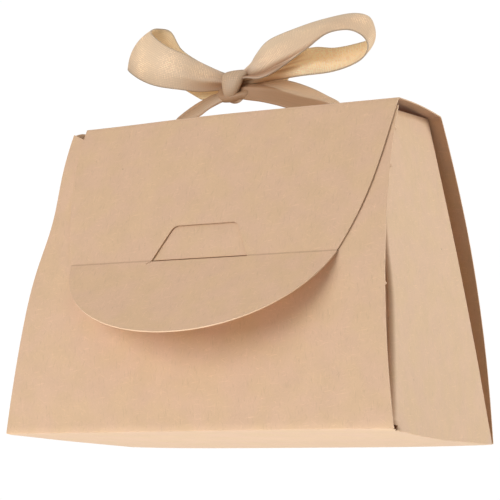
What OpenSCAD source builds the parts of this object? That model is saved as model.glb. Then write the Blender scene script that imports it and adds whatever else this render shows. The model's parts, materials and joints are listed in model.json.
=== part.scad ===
// A closed favor box of folded kraft card, with a satin ribbon bow on its lid.
// The origin is the middle of the base, +Z is up and the flap is at the front, toward -Y.

/* [Box] */
// Width of the base, left to right
base_w = 120; // [110:1:135]
// Depth of the base, front to back
base_d = 70; // [60:1:82]
// Height of the lid's top face above the table
box_h = 92; // [84:1:104]
// Thickness of the card
board = 0.4; // [0.3:0.05:0.5]
// Width of the front and back panels at lid height
panel_top_w = 104.5; // [100:0.5:108]
// Distance over the two side panels at lid height
side_top_w = 96.8; // [92:0.4:99]
// How far the front panel bows outward
front_bow = 5.5; // [4:0.1:7]
// How far the back panel bows outward
back_bow = 9; // [7:0.1:11]
// How far the cut edges of the front and back panels draw in at mid height
waist = 0.9; // [0:0.1:1.6]
// How far the front panel's top corners lie below the lid's top face
corner_drop = 2.5; // [1.6:0.1:4]
// Depth of the finger arc in the front panel's top edge
arc_drop = 13; // [8:0.5:18]
// Gap between the lid and a side panel at its front
side_front_gap = 1.7; // [0.6:0.1:2.6]
// Gap between the lid and a side panel at its back
side_back_gap = 0.3; // [0.2:0.1:1]
// Width of the glue tabs on the side panels
tab_w = 10; // [7:0.5:13]
// Length of the slanted ends of the tabs
tab_slant = 6; // [3:0.5:9]

/* [Lid and flap] */
// Width of the lid at its back crease
lid_w = 104.5; // [101:0.5:110]
// Depth of the lid between its two creases
lid_d = 30; // [25:1:36]
// Clearance between the flap and the front panel
flap_gap = 0.15; // [0.1:0.05:0.3]
// Width of the flap, and of the lid, at the crease between them
flap_top_w = 100; // [98:0.5:105]
// Width of the flap at its score line
flap_score_w = 85; // [81:0.5:89]
// Length of the flap from the lid down to its score line
flap_h = 46.3; // [42:0.1:50]
// Length of the flap tip below the score line
tip_len = 29.2; // [27:0.2:34]
// Width that the tip's rounded outline swells from
tip_w = 87; // [83:0.5:91]
// Height above the score line where the tip's rounded outline starts
tip_rise = 10; // [6:0.5:14]
// Angle at which the locked tip stands out from the flap
tip_angle = 28; // [24:1:32]

/* [Lock] */
// Width of the lock tongue at the score line
tongue_w = 30; // [26:0.5:34]
// Width of the lock tongue at its end
tongue_end_w = 20; // [16:0.5:23]
// Length of the lock tongue
tongue_h = 10.2; // [8:0.2:11.6]
// Corner radius of the lock tongue
tongue_r = 2.2; // [1:0.1:3]
// Gap that the cutting rule leaves round the tongue
die_gap = 0.15; // [0.1:0.05:0.3]
// Clearance at each end of the slit that takes the tongue
slit_end_gap = 0.4; // [0.2:0.1:0.8]
// Clearance between the tongue and the slit's upper lip
slit_lip_gap = 0.1; // [0.08:0.02:0.2]
// How far the slit reaches below the score line
slit_drop = 2; // [1.6:0.1:2.6]
// Length of the short stop cuts at the tongue's roots
stop_cut_len = 1.3; // [0.6:0.1:2]
// Width of the stop cuts
stop_cut_w = 0.2; // [0.15:0.05:0.3]

/* [Ribbon] */
// Width of the ribbon
ribbon_w = 12; // [10:0.5:14]
// Thickness of the ribbon
ribbon_t = 0.3; // [0.2:0.05:0.4]
// Diameter of the two punched holes in the lid
hole_d = 6; // [5:0.25:8]
// Distance between the two holes
hole_span = 53; // [46:1:60]
// Clearance of the ribbon in its hole and under the lid
ribbon_gap = 0.2; // [0.1:0.05:0.4]
// Height of the knot's middle above the lid
knot_lift = 10.8; // [10:0.2:12.6]
// How far the knot sits left of the middle
knot_shift = 6.3; // [4:0.1:8]
// Width of the knot
knot_w = 9.4; // [8.4:0.2:10]
// Height of the knot
knot_h = 9.6; // [8.6:0.2:10]
// Thickness of the knot, front to back
knot_t = 7; // [6.4:0.2:7.6]
// Radius of the knot's rounded corners
knot_r = 2; // [1.2:0.1:2.6]
// Reach of the left loop from the knot's middle
left_reach = 36.6; // [33:0.2:39]
// Rise of the left loop above the knot's middle
left_rise = 20.7; // [18:0.1:23]
// Depth of the left loop, front to back
left_depth = 11.5; // [10:0.1:13]
// Reach of the right loop from the knot's middle
right_reach = 45.5; // [42:0.5:48]
// Rise of the right loop above the knot's middle
right_rise = 19.7; // [18:0.1:22]
// Depth of the right loop, front to back
right_depth = 13; // [11.5:0.1:14.5]
// Reach of the left tail from the knot's middle
left_tail_reach = 24; // [20:0.5:27]
// Reach of the right tail from the knot's middle
right_tail_reach = 19; // [16:0.5:22]

/* [Hidden] */

$fn = 64;
card_colour = "#d5b292";
inside_colour = "#a5805e";
ribbon_colour = "#c9a880";

// Slack between two panels of one blank where a crease joins them
seam = 0.05;
// How far the panels stop short of the lid's creases
fold_set = 0.6;
// How far the tabs start above the base panel
tab_lift = 0.3;
// Overrun of every cut past the face that it opens
overrun = 2;
// Power of the curve along which the flap's sides draw in toward the score line
side_power = 1.8;
// Power of the tip's rounded outline, where 2 gives an ellipse
tip_power = 2.3;
curve_steps = 24;
tip_steps = 20;
corner_steps = 6;
loop_steps = 44;
strand_steps = 22;
tail_steps = 8;
// Share of a bowed panel's height by which its sheet runs past the creases before it is cut
sheet_overrun_share = 0.03;

skin = board + flap_gap;
side_lean = atan2((base_w - side_top_w) / 2, box_h);
hole_x = hole_span / 2;
// Half width to which the ribbon gathers in its hole
gather = hole_d / 2 - ribbon_gap;
knot_at = [-knot_shift, 0, box_h + knot_lift];
under_top = box_h - board - ribbon_gap;

// The flap's outer face, the front panel behind it, and the back panel seen in a mirror:
// each runs from its foot to its head, given as [y, z] with the outside toward -Y.
flap_foot = [-(base_d / 2 + skin), 0];
flap_head = [-lid_d / 2, box_h];
back_foot = [-base_d / 2, 0];
back_head = [-lid_d / 2, box_h];

function unit(v) = v / norm(v);
// The direction square to v, on its left
function left_of(v) = [-v[1], v[0]];
function wall_way(foot, head, bow, u) =
    unit(head - foot + 4 * bow * (1 - 2 * u) * left_of(unit(head - foot)));
// A point at share u of a bowed wall's height and at a depth behind its outer face
function wall_point(foot, head, bow, u, depth) =
    foot + u * (head - foot) + 4 * bow * u * (1 - u) * left_of(unit(head - foot))
    - depth * left_of(wall_way(foot, head, bow, u));
// Where the straight line behind a wall's outer face lies at height z
function chord_y(foot, head, z, depth) =
    foot[0] + (head[0] - foot[0]) * z / (head[1] - foot[1])
    + depth * norm(head - foot) / (head[1] - foot[1]);
function lean_of(way) = atan2(way[0], way[1]);

score_share = 1 - flap_h / norm(flap_head - flap_foot);
score_at = wall_point(flap_foot, flap_head, front_bow, score_share, 0);
score_lean = lean_of(wall_way(flap_foot, flap_head, front_bow, score_share));

// The sheet of a bowed wall, wide enough for its outline to cut
module bowed_sheet(foot, head, bow, depth, wide) {
    shares = [for (i = [0 : curve_steps])
        -sheet_overrun_share + (1 + 2 * sheet_overrun_share) * i / curve_steps];
    outer = [for (u = shares) wall_point(foot, head, bow, u, depth)];
    inner = [for (u = shares) wall_point(foot, head, bow, u, depth + board)];
    rotate([90, 0, 90])
        linear_extrude(wide, center = true)
            polygon(concat(outer, [for (i = [curve_steps : -1 : 0]) inner[i]]));
}

// A flat card plate that hangs from a line at [y, z] and leans back by an angle,
// its outer face on that line. Its outline is drawn as [x, way up the plate].
module plate(at, lean) {
    translate([0, at[0], at[1]])
        rotate([90 - lean, 0, 0])
            translate([0, 0, -board])
                linear_extrude(board)
                    children();
}

// A prism along Y whose outline is drawn as [x, z]
module front_prism(deep) {
    rotate([90, 0, 0])
        linear_extrude(deep, center = true)
            children();
}

// Both halves of an outline that is given by its right half, from the bottom up
function both_sides(right) =
    concat(right, [for (i = [len(right) - 1 : -1 : 0]) [-right[i][0], right[i][1]]]);

function wall_half_w(u) =
    (base_w + (panel_top_w - base_w) * u) / 2 - 4 * waist * u * (1 - u);

module wall_outline(top) {
    polygon(both_sides([for (i = [0 : curve_steps])
        [wall_half_w(i / curve_steps * top / box_h), top * i / curve_steps]]));
}

// Half of the lock tongue's outline, grown on every side but its root
function tongue_half(grow) =
    let (run = [(tongue_w - tongue_end_w) / 2, tongue_h])
    let (nx = run[1] / norm(run))
    let (nz = run[0] / norm(run))
    let (cx = tongue_end_w / 2 - tongue_r * (1 - nz) / nx)
    let (from = atan2(nz, nx))
    concat([[tongue_w / 2 + grow / nx, 0]],
        [for (i = [0 : corner_steps])
            let (a = from + (90 - from) * i / corner_steps)
            [cx + (tongue_r + grow) * cos(a), tongue_h - tongue_r + (tongue_r + grow) * sin(a)]]);

// The window that the tongue leaves, open at the score line
module tongue_window() {
    half = tongue_half(die_gap);
    polygon(both_sides(concat([[half[0][0], -overrun]], half)));
}

// The slit's section as [depth behind the flap's outer face, height above the score line]
module slit_section() {
    near = flap_gap;
    far = skin + board + overrun;
    lip = slit_lip_gap / sin(tip_angle);
    polygon([[near, -slit_drop], [far, -slit_drop],
        [far, far / tan(tip_angle) + lip], [near, near / tan(tip_angle) + lip]]);
}

module base_panel() {
    wide = base_w - 2 * (board + seam) / cos(side_lean) - 2 * board * tan(side_lean);
    deep = base_d - 2 * (board + seam);
    color(card_colour)
        translate([-wide / 2, -deep / 2, 0])
            cube([wide, deep, board]);
}

module front_panel() {
    radius = (pow(panel_top_w / 2, 2) + pow(arc_drop, 2)) / (2 * arc_drop);
    top = box_h - corner_drop;
    color(card_colour)
        difference() {
            intersection() {
                bowed_sheet(flap_foot, flap_head, front_bow, skin, base_w + overrun);
                front_prism(base_w + base_d) wall_outline(top);
            }
            translate([0, 0, top - arc_drop + radius])
                rotate([90, 0, 0])
                    cylinder(h = base_w + base_d, r = radius, center = true, $fn = 180);
            translate([0, score_at[0], score_at[1]])
                rotate([-score_lean, 0, 0])
                    rotate([90, 0, 90])
                        linear_extrude(tongue_w + 2 * slit_end_gap, center = true)
                            slit_section();
        }
}

module back_panel() {
    color(inside_colour)
        mirror([0, 1, 0])
            intersection() {
                bowed_sheet(back_foot, back_head, back_bow, 0, base_w + overrun);
                front_prism(base_w + base_d) wall_outline(box_h - fold_set);
            }
}

// A side panel on the right, leaning in over the base
module side_panel() {
    slant = 1 / cos(side_lean);
    behind = board + seam;
    front_top = box_h - board - side_front_gap;
    back_top = box_h - board - side_back_gap;
    low = board * tan(side_lean);
    translate([base_w / 2, 0, 0])
        rotate([0, -side_lean, 0])
            translate([-board, 0, 0])
                rotate([90, 0, 90])
                    linear_extrude(board)
                        polygon([
                            [chord_y(flap_foot, flap_head, 0, skin + behind), low],
                            [-chord_y(back_foot, back_head, 0, behind), low],
                            [-chord_y(back_foot, back_head, back_top, behind), back_top * slant],
                            [chord_y(flap_foot, flap_head, front_top, skin + behind), front_top * slant]
                        ]);
}

// A glue tab on the right, flat behind the wall that runs from foot to head
module tab(foot, head, depth, top) {
    up = unit(head - foot);
    inset = (board + seam) / cos(side_lean);
    low = board + tab_lift;
    slope = (base_w - side_top_w) / 2 / box_h;
    plate([chord_y(foot, head, 0, depth + board + seam), 0], lean_of(up))
        polygon([
            [base_w / 2 - inset - slope * low, low / up[1]],
            [base_w / 2 - inset - slope * top, top / up[1]],
            [base_w / 2 - inset - slope * top - tab_w, top / up[1] - tab_slant],
            [base_w / 2 - inset - slope * low - tab_w, low / up[1] + tab_slant]
        ]);
}

module front_tab() {
    tab(flap_foot, flap_head, skin, box_h - corner_drop - tab_lift);
}

module back_tab() {
    mirror([0, 1, 0])
        tab(back_foot, back_head, 0, box_h - corner_drop - tab_lift);
}

module left_side_panel() {
    color(card_colour) mirror([1, 0, 0]) side_panel();
}

module right_side_panel() {
    color(card_colour) side_panel();
}

module left_front_tab() {
    color(inside_colour) mirror([1, 0, 0]) front_tab();
}

module left_back_tab() {
    color(inside_colour) mirror([1, 0, 0]) back_tab();
}

module right_front_tab() {
    color(inside_colour) front_tab();
}

module right_back_tab() {
    color(inside_colour) back_tab();
}

module lid_panel() {
    back = lid_d / 2 - fold_set;
    color(card_colour)
        difference() {
            translate([0, 0, box_h - board])
                linear_extrude(board)
                    polygon(both_sides([[flap_top_w / 2, -back], [lid_w / 2, back]]));
            for (side = [-1, 1])
                translate([side * hole_x, 0, box_h - board - overrun])
                    cylinder(h = board + 2 * overrun, d = hole_d);
        }
}

module flap_panel() {
    sides = [for (i = [0 : curve_steps])
        let (s = i / curve_steps)
        let (u = score_share + (1 - score_share) * s)
        [flap_score_w / 2 + (flap_top_w - flap_score_w) / 2 * (1 - pow(1 - s, side_power)),
            i == curve_steps ? box_h - fold_set
                : i == 0 ? score_at[1] + seam
                : wall_point(flap_foot, flap_head, front_bow, u, 0)[1]]];
    color(card_colour)
        difference() {
            intersection() {
                bowed_sheet(flap_foot, flap_head, front_bow, 0, base_w);
                front_prism(base_w + base_d) polygon(both_sides(sides));
            }
            translate([0, score_at[0], score_at[1]])
                rotate([90 - score_lean, 0, 0])
                    linear_extrude(2 * overrun, center = true)
                        tongue_window();
        }
}

// The tip's rounded outline below the score line
function tip_half() =
    let (full = tip_rise + tip_len)
    let (from = asin(pow(tip_rise / full, tip_power / 2)))
    [for (i = [tip_steps : -1 : 0])
        let (a = from + (90 - from) * i / tip_steps)
        [tip_w / 2 * cos(a), tip_rise - full * pow(sin(a), 2 / tip_power) - seam]];

module tip_panel() {
    color(card_colour)
        plate(score_at, score_lean + tip_angle)
            difference() {
                polygon(both_sides(tip_half()));
                for (side = [-1, 1])
                    translate([side * (tongue_w / 2 + die_gap), 0])
                        rotate(side > 0 ? -45 : -135)
                            translate([-stop_cut_w, -stop_cut_w / 2])
                                square([stop_cut_len + stop_cut_w, stop_cut_w]);
            }
}

module lock_tongue() {
    color(card_colour)
        plate(score_at, score_lean + tip_angle)
            polygon(both_sides(tongue_half(0)));
}

// A smooth curve through the points of p, at share t of its length
function through(p, t) =
    let (n = len(p) - 1)
    let (i = min(floor(t * n), n - 1))
    let (u = t * n - i)
    let (a = p[max(i - 1, 0)], b = p[i], c = p[i + 1], d = p[min(i + 2, n)])
    b + ((c - a) * u + (2 * a - 5 * b + 4 * c - d) * pow(u, 2)
        + (3 * b - 3 * c + d - a) * pow(u, 3)) / 2;

// A strip of ribbon between two edge curves, as one closed skin
module ribbon_strip(near, far, steps) {
    nudge = 1 / steps / 4;
    rings = [for (i = [0 : steps])
        let (t = i / steps)
        let (a = through(near, t))
        let (b = through(far, t))
        let (t0 = max(t - nudge, 0), t1 = min(t + nudge, 1))
        let (way = through(near, t1) + through(far, t1) - through(near, t0) - through(far, t0))
        let (out = unit(cross(way, b - a)) * ribbon_t / 2)
        [a - out, b - out, b + out, a + out]];
    points = [for (ring = rings) for (p = ring) p];
    skin_faces = [for (i = [0 : steps - 1]) for (k = [0 : 3])
        let (m = (k + 1) % 4)
        for (face = [[4 * i + k, 4 * i + 4 + k, 4 * i + 4 + m], [4 * i + k, 4 * i + 4 + m, 4 * i + m]])
            face];
    last = 4 * steps;
    ends = [[0, 1, 2], [0, 2, 3], [last, last + 2, last + 1], [last, last + 3, last + 2]];
    polyhedron(points = points, faces = concat(skin_faces, ends), convexity = 6);
}

// Points given as shares of a reach, a depth and a rise from the knot's middle
function from_knot(shares, reach, depth, rise) =
    [for (s = shares) knot_at + [s[0] * reach, s[1] * depth, s[2] * rise]];

// The knot's block, wider above than below, grown on every side
module knot_block(grow) {
    half = [knot_w / 2, knot_t / 2, knot_h / 2] - [knot_r, knot_r, knot_r];
    foot_share = 0.62;
    translate(knot_at)
        hull()
            for (side = [-1, 1], way = [-1, 1], end = [-1, 1])
                translate([side * half[0] * (end < 0 ? foot_share : 1), way * half[1], end * half[2]])
                    sphere(r = knot_r + grow, $fn = 20);
}

// A strip that is cut off where it enters the knot
module from_the_knot() {
    difference() {
        children();
        knot_block(seam);
    }
}

module ribbon_under_lid() {
    run = hole_span + 2 * gather + ribbon_w / 2;
    color(ribbon_colour)
        translate([-run / 2, -ribbon_w / 2, under_top - ribbon_t])
            cube([run, ribbon_w, ribbon_t]);
}

// Where one edge of a strand turns down through a hole and ends on the stretch under the lid
function down_hole(x) = [[x, 0, box_h + board], [x, 0, (box_h + under_top) / 2], [x, 0, under_top + seam]];

// A strand's edge: shares of its reach, the ribbon's width and the knot's lift, then the hole
function strand_edge(shares, reach, hole_end) =
    concat([for (s = shares)
        [knot_at[0] + s[0] * reach, s[1] * ribbon_w, box_h + s[2] * knot_lift]],
        down_hole(hole_end));

left_upper_shares = [[0.05, 0.1, 1.02], [0.34, 0, 0.91], [0.57, 0.04, 0.77], [0.81, 0.08, 0.58],
    [1.02, 0.06, 0.3]];
left_lower_shares = [[0, -0.17, 0.64], [0.23, -0.17, 0.56], [0.38, -0.2, 0.41], [0.57, -0.18, 0.26],
    [0.76, -0.08, 0.18]];
right_upper_shares = [[0.03, 0.1, 1.2], [0.22, 0.17, 1.19], [0.44, 0.25, 1.08], [0.69, 0.29, 0.86],
    [0.86, 0.25, 0.58], [0.99, 0.12, 0.36]];
right_lower_shares = [[0.03, -0.17, 0.62], [0.16, -0.27, 0.55], [0.38, -0.33, 0.38], [0.57, -0.33, 0.24],
    [0.72, -0.25, 0.2], [0.84, -0.12, 0.17]];

module ribbon_left_strand() {
    reach = knot_at[0] + hole_x;
    color(ribbon_colour)
        from_the_knot()
            ribbon_strip(strand_edge(left_lower_shares, -reach, -hole_x + gather),
                strand_edge(left_upper_shares, -reach, -hole_x - gather), strand_steps);
}

module ribbon_right_strand() {
    reach = hole_x - knot_at[0];
    color(ribbon_colour)
        from_the_knot()
            ribbon_strip(strand_edge(right_lower_shares, reach, hole_x - gather),
                strand_edge(right_upper_shares, reach, hole_x + gather), strand_steps);
}

module bow_knot() {
    color(ribbon_colour) knot_block(0);
}

// Both edges of each loop, from the knot along the front layer, round the end and back
left_high_shares = [[-0.03, -0.05, 0.14], [-0.12, -0.17, 0.22], [-0.24, -0.35, 0.33], [-0.38, -0.52, 0.48],
    [-0.54, -0.61, 0.62], [-0.68, -0.52, 0.81], [-0.735, -0.3, 0.94], [-0.715, -0.04, 1],
    [-0.64, 0.13, 0.93], [-0.55, 0.2, 0.69], [-0.37, 0.17, 0.48], [-0.17, 0.1, 0.28], [-0.04, 0.06, 0.2]];
left_low_shares = [[-0.03, -0.1, -0.04], [-0.12, -0.22, -0.03], [-0.27, -0.39, -0.05], [-0.43, -0.52, -0.02],
    [-0.63, -0.57, 0.05], [-0.8, -0.43, 0.19], [-0.97, -0.17, 0.41], [-1, 0.13, 0.5],
    [-0.88, 0.35, 0.41], [-0.65, 0.38, 0.26], [-0.39, 0.26, 0.12], [-0.18, 0.14, 0.05], [-0.04, 0.08, 0.02]];
right_far_shares = [[0.02, -0.06, 0.2], [0.07, -0.04, 0.26], [0.13, 0.08, 0.49], [0.22, 0.15, 0.69],
    [0.42, 0.19, 0.83], [0.59, 0.27, 0.94], [0.78, 0.29, 1], [0.89, 0.31, 0.92], [0.93, 0.35, 0.75],
    [0.9, 0.38, 0.6], [0.8, 0.37, 0.53], [0.65, 0.35, 0.5], [0.49, 0.28, 0.49], [0.28, 0.22, 0.36],
    [0.1, 0.14, 0.24], [0.02, 0.1, 0.2]];
right_near_shares = [[0.02, -0.12, 0.06], [0.11, -0.23, 0.09], [0.24, -0.38, 0.09], [0.42, -0.54, 0.18],
    [0.62, -0.62, 0.38], [0.76, -0.62, 0.54], [0.88, -0.58, 0.57], [0.96, -0.54, 0.5], [1, -0.5, 0.35],
    [0.96, -0.46, 0.2], [0.88, -0.45, 0.1], [0.73, -0.43, 0.04], [0.52, -0.34, 0.01], [0.28, -0.2, 0],
    [0.12, -0.06, 0.02], [0.02, 0, 0.06]];
left_tail_high_shares = [[-0.05, 0.1, 0.1], [-0.4, 0.3, 0.18], [-0.7, 0.44, 0.26], [-1, 0.54, 0.32]];
left_tail_low_shares = [[-0.05, 0.1, -0.14], [-0.3, 0.3, -0.16], [-0.45, 0.42, -0.15], [-0.6, 0.5, -0.12]];
right_tail_high_shares = [[0.05, 0.14, 0.3], [0.35, 0.34, 0.6], [0.68, 0.48, 0.8], [1, 0.56, 0.94]];
right_tail_low_shares = [[0.1, 0.14, 0.06], [0.35, 0.33, 0.06], [0.52, 0.42, 0.08], [0.69, 0.48, 0.1]];

module bow_left_loop() {
    color(ribbon_colour)
        from_the_knot()
            ribbon_strip(from_knot(left_low_shares, left_reach, left_depth, left_rise),
                from_knot(left_high_shares, left_reach, left_depth, left_rise), loop_steps);
}

module bow_right_loop() {
    color(ribbon_colour)
        from_the_knot()
            ribbon_strip(from_knot(right_near_shares, right_reach, right_depth, right_rise),
                from_knot(right_far_shares, right_reach, right_depth, right_rise), loop_steps);
}

module bow_left_tail() {
    color(ribbon_colour)
        from_the_knot()
            ribbon_strip(from_knot(left_tail_low_shares, left_tail_reach, ribbon_w, ribbon_w),
                from_knot(left_tail_high_shares, left_tail_reach, ribbon_w, ribbon_w), tail_steps);
}

module bow_right_tail() {
    color(ribbon_colour)
        from_the_knot()
            ribbon_strip(from_knot(right_tail_low_shares, right_tail_reach, ribbon_w, ribbon_w),
                from_knot(right_tail_high_shares, right_tail_reach, ribbon_w, ribbon_w), tail_steps);
}

base_panel();
front_panel();
back_panel();
left_side_panel();
right_side_panel();
left_front_tab();
left_back_tab();
right_front_tab();
right_back_tab();
lid_panel();
ribbon_under_lid();
ribbon_left_strand();
ribbon_right_strand();
bow_knot();
bow_left_loop();
bow_right_loop();
bow_left_tail();
bow_right_tail();
flap_panel();
tip_panel();
lock_tongue();
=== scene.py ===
import json
import math

import bmesh
import bpy
import numpy as np
from mathutils import Matrix, Vector


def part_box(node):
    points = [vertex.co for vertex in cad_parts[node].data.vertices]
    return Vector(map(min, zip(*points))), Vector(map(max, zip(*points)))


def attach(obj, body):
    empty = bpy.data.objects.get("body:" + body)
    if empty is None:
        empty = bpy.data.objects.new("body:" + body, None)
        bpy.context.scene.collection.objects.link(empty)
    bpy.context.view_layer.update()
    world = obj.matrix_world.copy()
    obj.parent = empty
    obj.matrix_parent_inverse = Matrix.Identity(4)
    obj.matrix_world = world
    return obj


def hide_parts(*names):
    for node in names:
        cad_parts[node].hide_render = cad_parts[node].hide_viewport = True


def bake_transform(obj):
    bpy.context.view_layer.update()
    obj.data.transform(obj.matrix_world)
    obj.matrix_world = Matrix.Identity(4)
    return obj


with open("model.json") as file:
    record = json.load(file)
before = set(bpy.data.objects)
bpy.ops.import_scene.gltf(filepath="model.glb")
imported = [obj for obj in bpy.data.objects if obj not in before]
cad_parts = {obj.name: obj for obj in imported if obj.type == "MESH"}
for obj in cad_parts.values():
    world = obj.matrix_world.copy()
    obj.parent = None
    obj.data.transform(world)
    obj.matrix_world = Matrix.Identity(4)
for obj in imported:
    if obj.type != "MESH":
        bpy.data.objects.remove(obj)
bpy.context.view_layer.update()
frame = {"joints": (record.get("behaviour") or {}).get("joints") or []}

MM = 0.001
TURN = 2 * math.pi

# Sizes read from the frame, in millimetres
JOINTS = {j["name"]: [x / MM for x in j["pos_m"]] for j in frame["joints"]}
LID_BACK = JOINTS["lid_fold"][1:]
LID_FRONT = JOINTS["flap_fold"][1:]
SCORE = JOINTS["tip_fold"][1:]


def node_box(node):
    """A CAD node's lowest and highest corners in millimetres."""
    low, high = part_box(node)
    return np.array(low) / MM, np.array(high) / MM


BASE_W = node_box("back_panel")[1][0] * 2
LID_W = node_box("lid_panel")[1][0] * 2
BOX_H = LID_BACK[1]
BOARD = node_box("base_panel")[1][2]

# Sizes of the blank and the ribbon, in millimetres
BASE_D = 70
PANEL_TOP_W = 104.5
SIDE_TOP_W = 96.8
FRONT_BOW = 5.5
BACK_BOW = 9
WAIST = 0.9
CORNER_DROP = 2.5
ARC_DROP = 13
SIDE_FRONT_GAP = 2.3
SIDE_BACK_GAP = 0.12
TAB_W = 10
TAB_SLANT = 6
FLAP_GAP = 0.15
FLAP_TOP_W = 100
FLAP_SCORE_W = 85
TIP_LEN = 29.2
TIP_W = 87
TIP_RISE = 10
TIP_ANGLE = 28
TIP_POWER = 2.3
TIP_STEPS = 40
SIDE_POWER = 1.8
RIGHT_POWER = 3.0
TONGUE_W = 30
TONGUE_END_W = 20
TONGUE_H = 10.2
TONGUE_R = 2.2
DIE_GAP = 0.15
RIBBON_W = 12
RIBBON_T = 0.26
HOLE_D = 6
HOLE_SPAN = 53
SKIN = BOARD + FLAP_GAP
CREASE = 0.8
TUCK = 0.64
SCORE_CREASE = 0.22
WALL_STEPS = 160
WALL_POINTS = 120
CREASE_POINTS = 18
LID_DOME = 0.55

# Offsets of the places where the card's fibres and the ribbon's weave are looked up, which keep the
# inner faces, the side panels and the rest apart
INNER_MARK = 40
SIDE_MARK = 200
WEAVE_MARK = 20

# How the real card has settled: the lid's left front end hangs, the flap sits to the right,
# and the front panel's left edge is pressed in beside the flap
LID_SAG = 0.28
LID_DROOP = 1.22
TIP_CURL = 0.2
CURL_W = 38
CURL_H = 14
FLAP_SHIFT = 2.2
EDGE_DENT = 2.05
EDGE_PULL = 0.3
DENT_Z = 62
DENT_REACH = 14
DENT_X = -43
DENT_W = 12
NICKS = (38.4, 71.4, 82.4)
NICK_H = 0.45
NICK_OUT = 0.42
RIM = 0.13
WINDOW_SHIFT = -0.8
TONGUE_TURN = -64
TONGUE_BEND = 1.6
TAB_PUSH = 0.62
BASE_SAG = 0.55
SAG_RUN = 38
SAG_H = 26
CORNER_LOW = (0.25, 0.75)
RIGHT_SAG = 0.7
BACK_OUT = 0.5
BACK_OUT_Z = (84, 50)
SCORE_TRIM = 1.2
TRIM_W = 42
LEFT_SPLAY = 4.6
LEFT_RISE = 1.25
LIP_H = 0.22
SLIT_DROP = 2
SLIT_END_GAP = 0.4
STOP_CUT = 1.7
STOP_CUT_W = 0.26
STOP_CUT_TURN = -33

# The photograph's camera
CAM_AT = (277.9, -526.0, -30.5)
CAM_AZIMUTH = 27.94
CAM_ELEVATION = 8.11
CAM_ROLL = 0.8
PHOTO_PX = 500
FOCAL_PX = 2081
SENSOR = 36

# Studio light: a white surround, a faint warm lamp inside the box for the light that soaks through the
# card, and soft boxes by direction, share of full white and colour
FILL = 0.37
SURROUND = 1.02
GLOW = 0.004
GLOW_COLOUR = (1.0, 0.62, 0.42)
GLOW_R = 0.012
GLOW_AT = (0.012, 0.0, 0.055)
BOX_DISTANCE = 1.8
BOX_SIZE = 1.2
WHITE = (1, 1, 1)
SOFT_BOXES = [
    ("key_left", (-0.36, -0.90, 0.24), 0.64, WHITE),
    ("front_low", (-0.30, -0.75, -0.60), 0.06, WHITE),
    ("key_back", (0.82, 0.50, 0.26), 0.835, (1, 0.995, 0.93)),
    ("top", (0.05, -0.1, 0.99), 0.17, WHITE),
    ("below", (-0.16, -0.12, -0.98), 1.26, (0.96, 1, 1)),
]

# The floor, in metres: it fades out with distance
FLOOR_HALF = 3.0
FLOOR_DROP = 0.0014
FLOOR_FADE = (0.35, 2.6)
FLOOR_COLOUR = (0.93, 0.93, 0.92, 1)


# Small helpers

def unit(v):
    v = np.asarray(v, float)
    return v / np.linalg.norm(v)


def left_of(v):
    return np.array([-v[1], v[0]])


def smooth(k):
    """Rises smoothly from 0 to 1 as k does."""
    k = np.clip(k, 0, 1)
    return k * k * (3 - 2 * k)


def ramp(x, low, high):
    """Rises smoothly from 0 at low to 1 at high; low may be the greater one."""
    return smooth((x - low) / (high - low))


def hill(x, middle, reach):
    return np.exp(-((x - middle) / reach) ** 2)


def arch(k):
    """A parabola: 0 at k = 0 and 1, and 1 halfway."""
    return 4 * k * (1 - k)


def line(a, b, n=40):
    return [a + (b - a) * i / n for i in range(n + 1)]


def new_object(name, data):
    o = bpy.data.objects.new(name, data)
    bpy.context.scene.collection.objects.link(o)
    return o


def mesh_object(name, points, faces, index, materials, flat_from=2, **attributes):
    """An object from points in mm; faces whose material index is flat_from or more aren't smoothed."""
    mesh = bpy.data.meshes.new(name)
    mesh.from_pydata((points * MM).tolist(), [], faces)
    for mat in materials:
        mesh.materials.append(mat)
    index = np.array(index, np.int32)
    mesh.polygons.foreach_set("material_index", index)
    mesh.polygons.foreach_set("use_smooth", index < flat_from)
    for key, values in attributes.items():
        kind, field = ("FLOAT_VECTOR", "vector") if values.ndim == 2 else ("FLOAT", "value")
        mesh.attributes.new(key, kind, "POINT").data.foreach_set(field, values.ravel())
    mesh.update()
    return new_object(name, mesh)


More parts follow.
